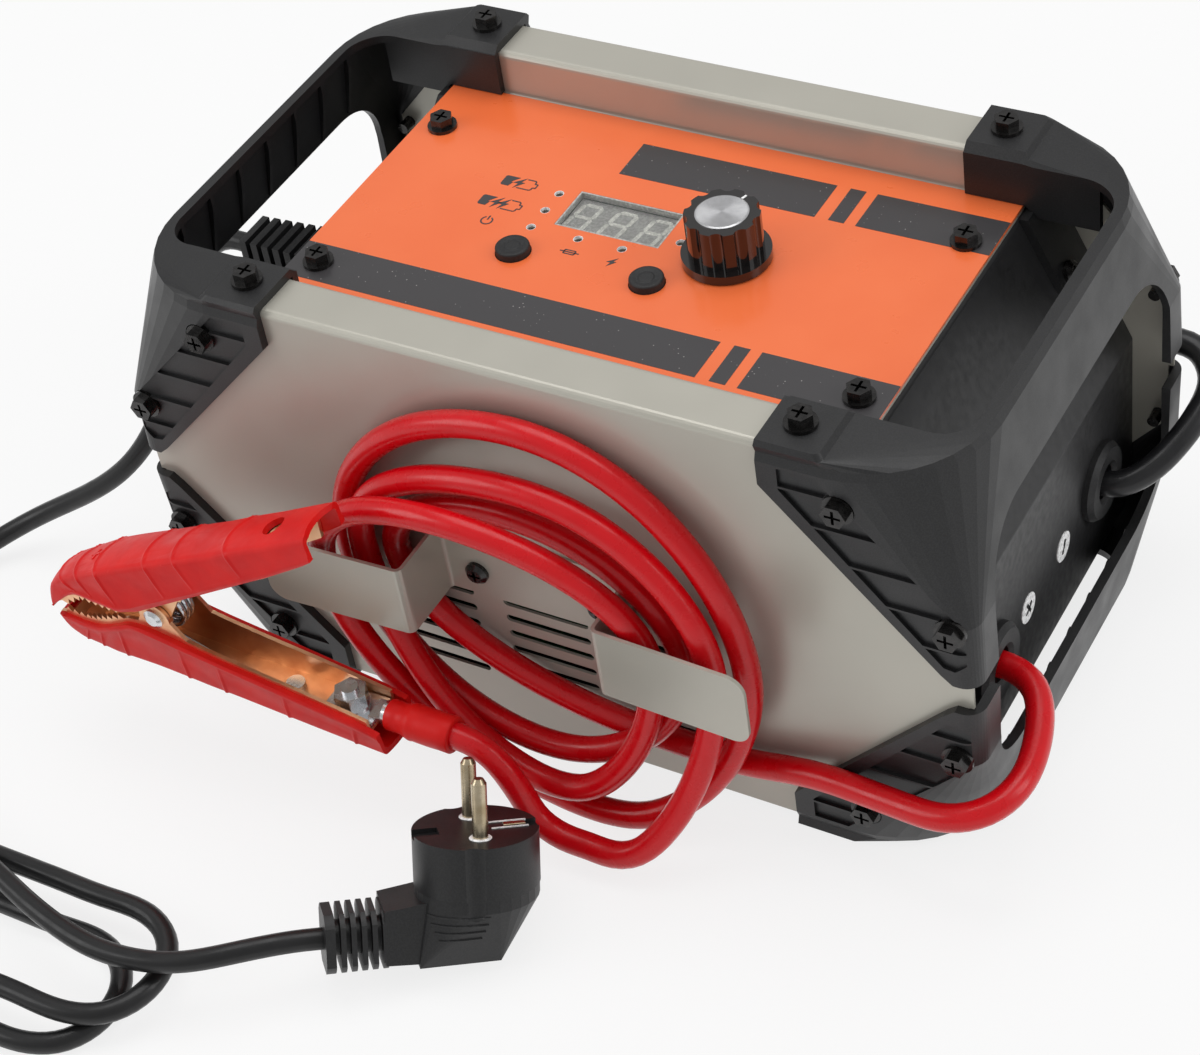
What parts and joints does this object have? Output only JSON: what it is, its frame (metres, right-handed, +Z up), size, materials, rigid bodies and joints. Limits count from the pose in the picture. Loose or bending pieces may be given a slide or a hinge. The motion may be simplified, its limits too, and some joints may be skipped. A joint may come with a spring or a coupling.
{
  "type": "car battery charger",
  "caption": "Portable car battery charger: sheet-metal case in moulded corner frames, recessed control panel, coiled battery leads with clamps, and a mains lead.",
  "frame": {"origin": "middle of the case's footprint, on the surface it stands on", "axes": "+X towards the end with the battery leads, +Y to the rear, +Z up; the red lead hangs on the front (-Y)"},
  "size_m": [0.4245, 0.3925, 0.1674],
  "materials": {
    "painted_sheet": "satin",
    "black_sheet": "satin",
    "frame_plastic": "fine texture",
    "black_screws": "satin",
    "panel_overlay": "satin film",
    "window": "smoked",
    "pale_plastic": "matte",
    "circuit_board": "solder mask",
    "black_plastic": "matte",
    "satin_steel": "satin",
    "black_rubber": "matte",
    "red_cable": "glossy",
    "red_grip": "satin",
    "black_grip": "satin",
    "copper": "copper plated",
    "transformer_iron": "varnished",
    "alloy": "extruded",
    "capacitor_sleeve": "glossy",
    "pin_brass": "nickel brass"
  },
  "bodies": {
    "housing": {"cover_shell": "painted_sheet", "base_plate": "painted_sheet", "end_plate_left": "black_sheet", "end_plate_right": "black_sheet", "upper_frame_left": "frame_plastic", "upper_frame_right": "frame_plastic", "lower_frame_left": "frame_plastic", "lower_frame_right": "frame_plastic", "frame_screws": "black_screws", "pan_screws": "black_screws", "control_panel": "panel_overlay", "panel_screws": "black_screws", "display_window": "window", "display_module": "pale_plastic", "indicator_leds": "pale_plastic", "control_board": "circuit_board", "tact_switches": "black_plastic", "potentiometer": "black_plastic", "front_cable_hooks": "painted_sheet", "rear_cable_hooks": "painted_sheet", "grommets": "black_rubber", "polarity_markers": "pale_plastic", "mains_strain_relief": "black_rubber", "main_board": "circuit_board", "transformer": "transformer_iron", "heat_sink": "alloy", "capacitors": "capacitor_sleeve", "fan_frame": "black_plastic", "red_jaw_lower": "copper", "red_grip_lower": "red_grip", "red_rivet": "satin_steel", "red_spring": "satin_steel", "red_lug_bolts": "satin_steel", "red_sleeve": "red_cable", "black_jaw_lower": "copper", "black_grip_lower": "black_grip", "black_rivet": "satin_steel", "black_spring": "satin_steel", "black_lug_bolts": "satin_steel", "black_sleeve": "black_rubber", "red_lead": "red_cable", "red_coil": "red_cable", "black_lead": "black_rubber", "black_coil": "black_rubber", "mains_lead": "black_rubber", "mains_coil": "black_rubber", "mains_plug": "black_plastic", "plug_pins": "pin_brass"},
    "knob": {"control_knob": "black_plastic", "knob_cap": "satin_steel", "knob_shaft": "satin_steel"},
    "left_button": {"button_left": "black_plastic"},
    "right_button": {"button_right": "black_plastic"},
    "fan": {"fan_rotor": "black_plastic"},
    "red_arm": {"red_jaw_upper": "copper", "red_grip_upper": "red_grip"},
    "black_arm": {"black_jaw_upper": "copper", "black_grip_upper": "black_grip"}
  },
  "joints": [
    {"name": "knob_turn", "type": "hinge", "parent": "housing", "child": "knob", "pos_m": [0.0285, 0.0071, 0.15], "axis": [0, 0, -1], "range_deg": [0, 300]},
    {"name": "left_button_press", "type": "slide", "parent": "housing", "child": "left_button", "axis": [0, 0, -1], "range_m": [0, 0.001], "stiffness_N_per_m": 400, "springref_m": -0.001},
    {"name": "right_button_press", "type": "slide", "parent": "housing", "child": "right_button", "axis": [0, 0, -1], "range_m": [0, 0.001], "stiffness_N_per_m": 400, "springref_m": -0.001},
    {"name": "fan_spin", "type": "hinge", "parent": "housing", "child": "fan", "pos_m": [-0.021, 0.073, 0.047], "axis": [0, 1, 0], "continuous": true},
    {"name": "red_clamp_open", "type": "hinge", "parent": "housing", "child": "red_arm", "pos_m": [-0.1182, -0.123, 0.0617], "axis": [0, 1, 0], "range_deg": [0, 25], "stiffness_Nm_per_rad": 3, "springref_deg": -28.65},
    {"name": "black_clamp_open", "type": "hinge", "parent": "housing", "child": "black_arm", "pos_m": [-0.1182, 0.123, 0.0417], "axis": [0, 1, 0], "range_deg": [0, 25], "stiffness_Nm_per_rad": 3, "springref_deg": -28.65}
  ]
}
